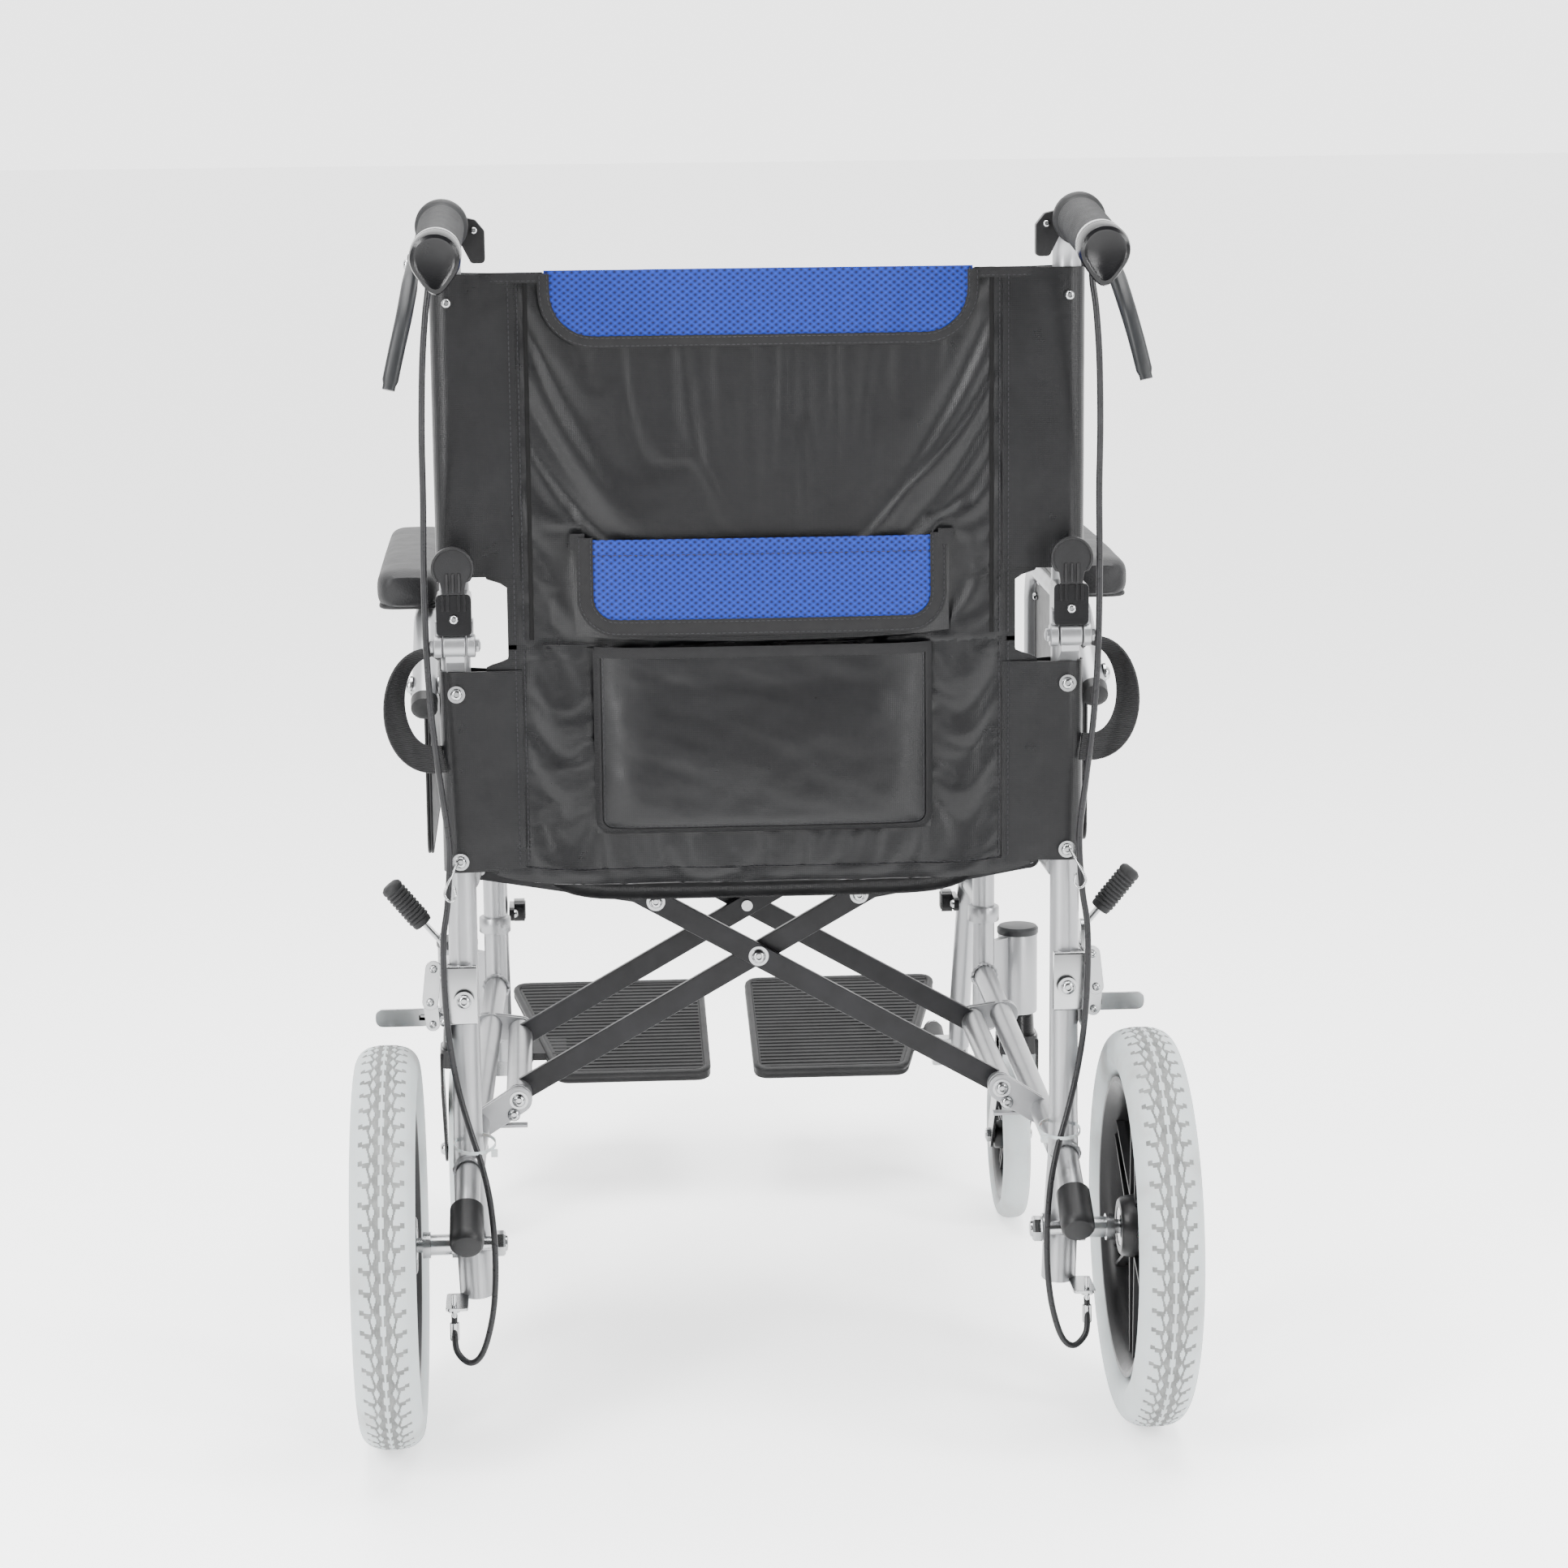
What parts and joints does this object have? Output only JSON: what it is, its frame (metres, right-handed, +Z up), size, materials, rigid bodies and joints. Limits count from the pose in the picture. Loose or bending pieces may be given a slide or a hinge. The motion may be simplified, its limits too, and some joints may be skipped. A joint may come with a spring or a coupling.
{
  "type": "transport wheelchair",
  "caption": "Folding attendant-pushed transport wheelchair with cross-fold frame, half-folding back, flip-back arms and swing-away footrests.",
  "frame": {"origin": "on the floor below the middle of the chair, bottom centre of its bounding box", "axes": "+X to the chair's right side, +Y the way the chair faces, +Z up; metres"},
  "size_m": [0.63, 0.9492, 0.9398],
  "materials": {
    "frame_silver": "silver-grey satin paint on aluminium tube",
    "zinc": "zinc-plated steel",
    "black_metal": "black powder coat",
    "black_plastic": "moulded black plastic",
    "grey_plastic": "satin grey plastic",
    "cable_black": "black cable housing",
    "webbing": "ribbed black webbing",
    "black_fabric": "black woven nylon",
    "blue_mesh": "royal blue spacer mesh",
    "side_panel": "black fabric side guard",
    "pale_tyre": "pale grey polyurethane",
    "arm_pad": "dark grey skinned foam"
  },
  "bodies": {
    "side_right": {"side_frame_right": "frame_silver", "tip_cap_right": "black_plastic", "webbing_loop_right": "webbing", "rear_axle_right": "zinc", "lock_bracket_right": "zinc", "brake_cable_right": "cable_black", "back_lower_panel": "black_fabric", "pocket_body": "black_fabric"},
    "side_left": {"side_frame_left": "frame_silver", "tip_cap_left": "black_plastic", "webbing_loop_left": "webbing", "rear_axle_left": "zinc", "lock_bracket_left": "zinc", "brake_cable_left": "cable_black"},
    "cross_a": {"cross_member_a": "black_metal"},
    "cross_b": {"cross_member_b": "black_metal"},
    "seat": {"seat_sling": "black_fabric"},
    "rear_wheel_right": {"rear_rim_right": "black_plastic", "rear_tyre_right": "pale_tyre"},
    "caster_fork_right": {"caster_fork_right": "black_metal"},
    "caster_wheel_right": {"caster_rim_right": "black_plastic", "caster_tyre_right": "pale_tyre"},
    "link_right": {"side_link_right": "black_metal"},
    "back_right": {"back_post_right": "frame_silver", "hand_grip_right": "black_plastic", "brake_mount_right": "grey_plastic", "back_upper_panel": "black_fabric", "pocket_yoke": "black_fabric"},
    "release_right": {"release_lever_right": "black_plastic"},
    "brake_right": {"brake_lever_right": "grey_plastic"},
    "hanger_right": {"hanger_right": "frame_silver"},
    "latch_right": {"hanger_latch_right": "black_plastic"},
    "foot_right": {"footplate_right": "black_plastic"},
    "arm_right": {"arm_frame_right": "frame_silver", "arm_pad_right": "arm_pad", "arm_side_panel_right": "side_panel"},
    "lock_right": {"lock_lever_right": "zinc", "lock_grip_right": "black_plastic"},
    "shoe_right": {"lock_shoe_right": "zinc"},
    "rear_wheel_left": {"rear_rim_left": "black_plastic", "rear_tyre_left": "pale_tyre"},
    "caster_fork_left": {"caster_fork_left": "black_metal"},
    "caster_wheel_left": {"caster_rim_left": "black_plastic", "caster_tyre_left": "pale_tyre"},
    "link_left": {"side_link_left": "black_metal"},
    "back_left": {"back_post_left": "frame_silver", "hand_grip_left": "black_plastic", "brake_mount_left": "grey_plastic"},
    "release_left": {"release_lever_left": "black_plastic"},
    "brake_left": {"brake_lever_left": "grey_plastic"},
    "hanger_left": {"hanger_left": "frame_silver"},
    "latch_left": {"hanger_latch_left": "black_plastic"},
    "foot_left": {"footplate_left": "black_plastic"},
    "arm_left": {"arm_frame_left": "frame_silver", "arm_pad_left": "arm_pad", "arm_side_panel_left": "side_panel"},
    "lock_left": {"lock_lever_left": "zinc", "lock_grip_left": "black_plastic"},
    "shoe_left": {"lock_shoe_left": "zinc"}
  },
  "joints": [
    {"name": "cross_fold", "type": "hinge", "parent": "side_right", "child": "cross_a", "pos_m": [0.19, -0.0967, 0.235], "axis": [0, 1, 0], "range_deg": [0, 48.4], "deforming": ["seat_sling", "back_lower_panel", "back_upper_panel", "pocket_body", "pocket_yoke"]},
    {"name": "cross_centre", "type": "hinge", "parent": "cross_a", "child": "cross_b", "pos_m": [0, -0.0967, 0.343], "axis": [0, 1, 0], "range_deg": [-96.8, 0]},
    {"name": "cross_left", "type": "hinge", "parent": "cross_b", "child": "side_left", "pos_m": [-0.19, -0.0967, 0.235], "axis": [0, 1, 0], "range_deg": [0, 48.4]},
    {"name": "seat_level", "type": "hinge", "parent": "cross_a", "child": "seat", "pos_m": [-0.205, -0.0967, 0.4595], "axis": [0, 1, 0], "range_deg": [-48.4, 0]},
    {"name": "rear_wheel_right_spin", "type": "hinge", "parent": "side_right", "child": "rear_wheel_right", "pos_m": [0.288, -0.3147, 0.1525], "axis": [1, 0, 0], "continuous": true},
    {"name": "caster_right_swivel", "type": "hinge", "parent": "side_right", "child": "caster_fork_right", "pos_m": [0.245, 0.1433, 0.206], "axis": [0, 0, 1], "continuous": true},
    {"name": "caster_right_spin", "type": "hinge", "parent": "caster_fork_right", "child": "caster_wheel_right", "pos_m": [0.245, 0.2083, 0.075], "axis": [1, 0, 0], "continuous": true},
    {"name": "link_right_turn", "type": "hinge", "parent": "side_right", "child": "link_right", "pos_m": [0.206, -0.1722, 0.417], "axis": [0, 1, 0], "range_deg": [0, 83.8]},
    {"name": "back_right_fold", "type": "hinge", "parent": "side_right", "child": "back_right", "pos_m": [0.228, -0.3172, 0.6126], "axis": [1, 0, 0], "range_deg": [0, 140], "deforming": ["brake_cable_right", "brake_cable_left"]},
    {"name": "release_right_pull", "type": "hinge", "parent": "back_right", "child": "release_right", "pos_m": [0.228, -0.3172, 0.651], "axis": [1, 0, 0], "range_deg": [0, 17], "stiffness_Nm_per_rad": 0.3},
    {"name": "brake_right_squeeze", "type": "hinge", "parent": "back_right", "child": "brake_right", "pos_m": [0.25, -0.3352, 0.8925], "axis": [-1, 0, 0], "range_deg": [0, 20], "stiffness_Nm_per_rad": 2, "springref_deg": -5.73},
    {"name": "hanger_right_swing", "type": "hinge", "parent": "side_right", "child": "hanger_right", "pos_m": [0.2113, 0.1113, 0.303], "axis": [0, 0, -1], "range_deg": [0, 90]},
    {"name": "latch_right_pull", "type": "hinge", "parent": "hanger_right", "child": "latch_right", "pos_m": [0.199, 0.2053, 0.288], "axis": [0, 0, 1], "range_deg": [0, 15], "stiffness_Nm_per_rad": 0.3},
    {"name": "foot_right_flip", "type": "hinge", "parent": "hanger_right", "child": "foot_right", "pos_m": [0.192, 0.3433, 0.1268], "axis": [0, 0.9744, 0.225], "range_deg": [0, 90.1]},
    {"name": "arm_right_flip", "type": "hinge", "parent": "side_right", "child": "arm_right", "pos_m": [0.253, -0.2517, 0.572], "axis": [1, 0, 0], "range_deg": [0, 80]},
    {"name": "lock_right_push", "type": "hinge", "parent": "side_right", "child": "lock_right", "pos_m": [0.2448, -0.2667, 0.352], "axis": [-1, 0, 0], "range_deg": [0, 60]},
    {"name": "shoe_right_press", "type": "hinge", "parent": "side_right", "child": "shoe_right", "pos_m": [0.2485, -0.2607, 0.318], "axis": [-1, 0, 0], "range_deg": [0, 36]},
    {"name": "rear_wheel_left_spin", "type": "hinge", "parent": "side_left", "child": "rear_wheel_left", "pos_m": [-0.288, -0.3147, 0.1525], "axis": [1, 0, 0], "continuous": true},
    {"name": "caster_left_swivel", "type": "hinge", "parent": "side_left", "child": "caster_fork_left", "pos_m": [-0.245, 0.1433, 0.206], "axis": [0, 0, 1], "continuous": true},
    {"name": "caster_left_spin", "type": "hinge", "parent": "caster_fork_left", "child": "caster_wheel_left", "pos_m": [-0.245, 0.2083, 0.075], "axis": [1, 0, 0], "continuous": true},
    {"name": "link_left_turn", "type": "hinge", "parent": "side_left", "child": "link_left", "pos_m": [-0.206, -0.1722, 0.417], "axis": [0, 1, 0], "range_deg": [-83.8, 0]},
    {"name": "back_left_fold", "type": "hinge", "parent": "side_left", "child": "back_left", "pos_m": [-0.228, -0.3172, 0.6126], "axis": [1, 0, 0], "range_deg": [0, 140]},
    {"name": "release_left_pull", "type": "hinge", "parent": "back_left", "child": "release_left", "pos_m": [-0.228, -0.3172, 0.651], "axis": [1, 0, 0], "range_deg": [0, 17], "stiffness_Nm_per_rad": 0.3},
    {"name": "brake_left_squeeze", "type": "hinge", "parent": "back_left", "child": "brake_left", "pos_m": [-0.25, -0.3352, 0.8925], "axis": [-1, 0, 0], "range_deg": [0, 20], "stiffness_Nm_per_rad": 2, "springref_deg": -5.73},
    {"name": "hanger_left_swing", "type": "hinge", "parent": "side_left", "child": "hanger_left", "pos_m": [-0.2113, 0.1113, 0.303], "axis": [0, 0, 1], "range_deg": [0, 90]},
    {"name": "latch_left_pull", "type": "hinge", "parent": "hanger_left", "child": "latch_left", "pos_m": [-0.199, 0.2053, 0.288], "axis": [0, 0, -1], "range_deg": [0, 15], "stiffness_Nm_per_rad": 0.3},
    {"name": "foot_left_flip", "type": "hinge", "parent": "hanger_left", "child": "foot_left", "pos_m": [-0.192, 0.3433, 0.1268], "axis": [0, -0.9744, -0.225], "range_deg": [0, 90.1]},
    {"name": "arm_left_flip", "type": "hinge", "parent": "side_left", "child": "arm_left", "pos_m": [-0.253, -0.2517, 0.572], "axis": [1, 0, 0], "range_deg": [0, 80]},
    {"name": "lock_left_push", "type": "hinge", "parent": "side_left", "child": "lock_left", "pos_m": [-0.2448, -0.2667, 0.352], "axis": [-1, 0, 0], "range_deg": [0, 60]},
    {"name": "shoe_left_press", "type": "hinge", "parent": "side_left", "child": "shoe_left", "pos_m": [-0.2485, -0.2607, 0.318], "axis": [-1, 0, 0], "range_deg": [0, 36]}
  ],
  "couplings": [
    {"joint": "cross_centre", "follows": "cross_fold", "ratio": -2},
    {"joint": "cross_left", "follows": "cross_fold", "ratio": 1},
    {"joint": "seat_level", "follows": "cross_fold", "ratio": -1},
    {"joint": "link_right_turn", "follows": "cross_fold", "ratio": 1.73},
    {"joint": "foot_right_flip", "follows": "cross_fold", "ratio": 1.8595},
    {"joint": "shoe_right_press", "follows": "lock_right_push", "ratio": 0.6},
    {"joint": "link_left_turn", "follows": "cross_fold", "ratio": -1.73},
    {"joint": "back_left_fold", "follows": "back_right_fold", "ratio": 1},
    {"joint": "foot_left_flip", "follows": "cross_fold", "ratio": 1.8595},
    {"joint": "shoe_left_press", "follows": "lock_left_push", "ratio": 0.6}
  ]
}
